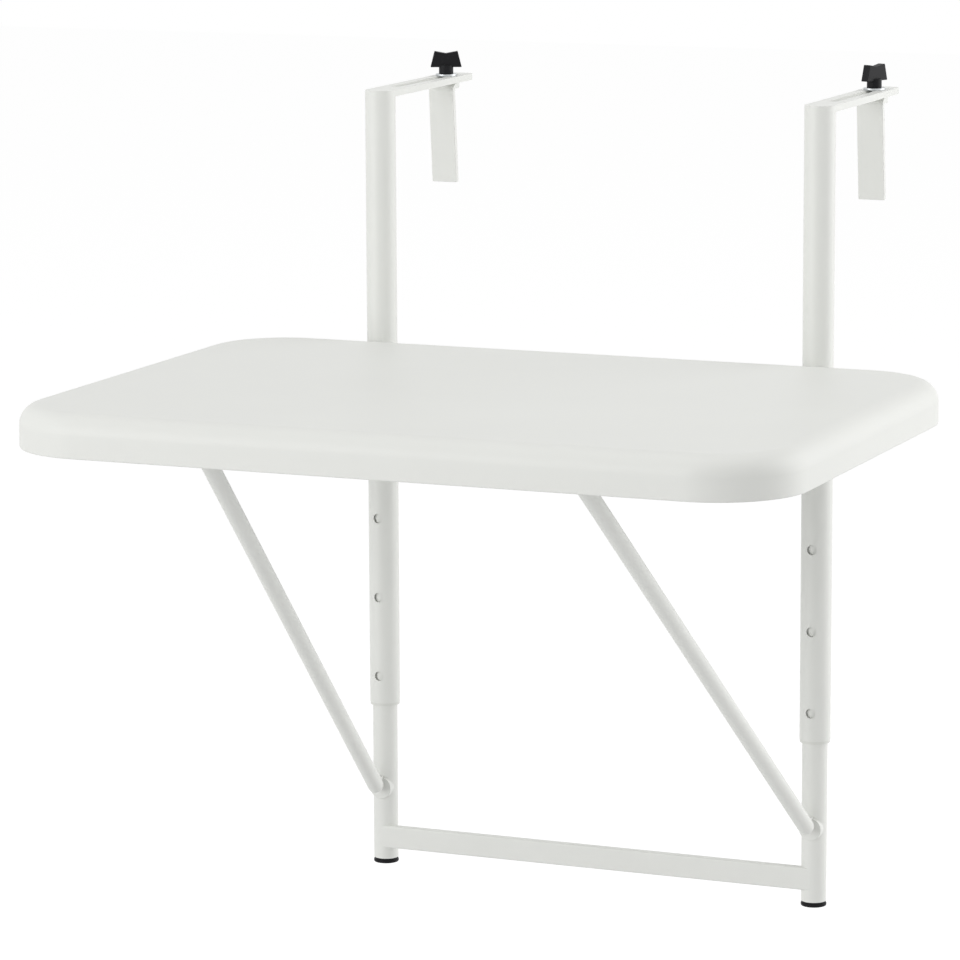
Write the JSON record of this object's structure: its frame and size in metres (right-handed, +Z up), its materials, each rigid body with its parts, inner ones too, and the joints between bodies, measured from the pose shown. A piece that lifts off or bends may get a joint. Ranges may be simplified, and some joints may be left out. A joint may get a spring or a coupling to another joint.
{
  "type": "folding balcony table",
  "caption": "White table that hangs on a balcony railing by two hooks with screw clamps, with a fold-up moulded top, a stay and height-adjustable posts.",
  "frame": {"origin": "on the railing's top, midway between the two hooks and in the plane of the posts' axes, where the arms' undersides rest", "axes": "+Z up; +X along the railing, to the right of someone sitting at the table who faces the railing; +Y from the table towards the railing and the clamps"},
  "size_m": [0.7, 0.7005, 0.7524],
  "materials": {
    "top_resin": "moulded, satin, slightly grey white",
    "white_paint": "powder-coated white steel, semi-matt",
    "white_nylon": "moulded nylon",
    "black_plastic": "moulded, matt black",
    "zinc_steel": "bright zinc-plated steel"
  },
  "bodies": {
    "posts": {"post_left": "white_paint", "post_right": "white_paint", "arm_left": "white_paint", "arm_right": "white_paint", "guide_bush_left": "white_nylon", "guide_bush_right": "white_nylon"},
    "lower_frame": {"lower_tube_left": "white_paint", "lower_tube_right": "white_paint", "top_glide_left": "white_nylon", "top_glide_right": "white_nylon", "crossbar": "white_paint", "foot_cap_left": "black_plastic", "foot_cap_right": "black_plastic", "stay_boss_left": "white_paint", "stay_boss_right": "white_paint", "stay_pin_left": "white_paint", "stay_pin_right": "white_paint", "hinge_bracket_left": "white_paint", "hinge_bracket_right": "white_paint", "hinge_pin_left": "zinc_steel", "hinge_pin_right": "zinc_steel", "height_screw_left": "zinc_steel", "height_screw_right": "zinc_steel"},
    "top": {"tabletop": "top_resin", "under_rail_left": "zinc_steel", "under_rail_right": "zinc_steel", "hinge_leaf_left": "zinc_steel", "hinge_leaf_right": "zinc_steel", "stay_catch_left": "white_nylon", "stay_catch_right": "white_nylon", "leaf_screws": "zinc_steel", "rail_screws": "zinc_steel"},
    "stay": {"stay_leg_left": "white_paint", "stay_leg_right": "white_paint", "stay_cross_tube": "white_paint", "stay_plug_left": "white_nylon", "stay_plug_right": "white_nylon"},
    "clamp_left": {"clamp_plate_left": "white_paint", "clamp_bolt_left": "zinc_steel", "washer_left": "zinc_steel"},
    "clamp_right": {"clamp_plate_right": "white_paint", "clamp_bolt_right": "zinc_steel", "washer_right": "zinc_steel"},
    "knob_left": {"knob_left": "black_plastic"},
    "knob_right": {"knob_right": "black_plastic"}
  },
  "joints": [
    {"name": "height_slide", "type": "slide", "parent": "posts", "child": "lower_frame", "axis": [0, 0, 1], "range_m": [-0.225, 0]},
    {"name": "table_fold", "type": "hinge", "parent": "lower_frame", "child": "top", "pos_m": [0, -0.04, -0.241], "axis": [-1, 0, 0], "range_deg": [0, 80]},
    {"name": "stay_fold", "type": "hinge", "parent": "lower_frame", "child": "stay", "pos_m": [0, -0.024, -0.644], "axis": [-1, 0, 0], "range_deg": [0, 43]},
    {"name": "clamp_left_slide", "type": "slide", "parent": "posts", "child": "clamp_left", "axis": [0, 1, 0], "range_m": [-0.112, 0.018]},
    {"name": "clamp_right_slide", "type": "slide", "parent": "posts", "child": "clamp_right", "axis": [0, 1, 0], "range_m": [-0.112, 0.018]},
    {"name": "knob_left_turn", "type": "hinge", "parent": "clamp_left", "child": "knob_left", "pos_m": [-0.2125, 0.154, 0.02], "axis": [0, 0, 1], "continuous": true},
    {"name": "knob_right_turn", "type": "hinge", "parent": "clamp_right", "child": "knob_right", "pos_m": [0.2125, 0.154, 0.02], "axis": [0, 0, 1], "continuous": true}
  ],
  "couplings": [
    {"joint": "stay_fold", "follows": "table_fold", "ratio": 0.535}
  ]
}
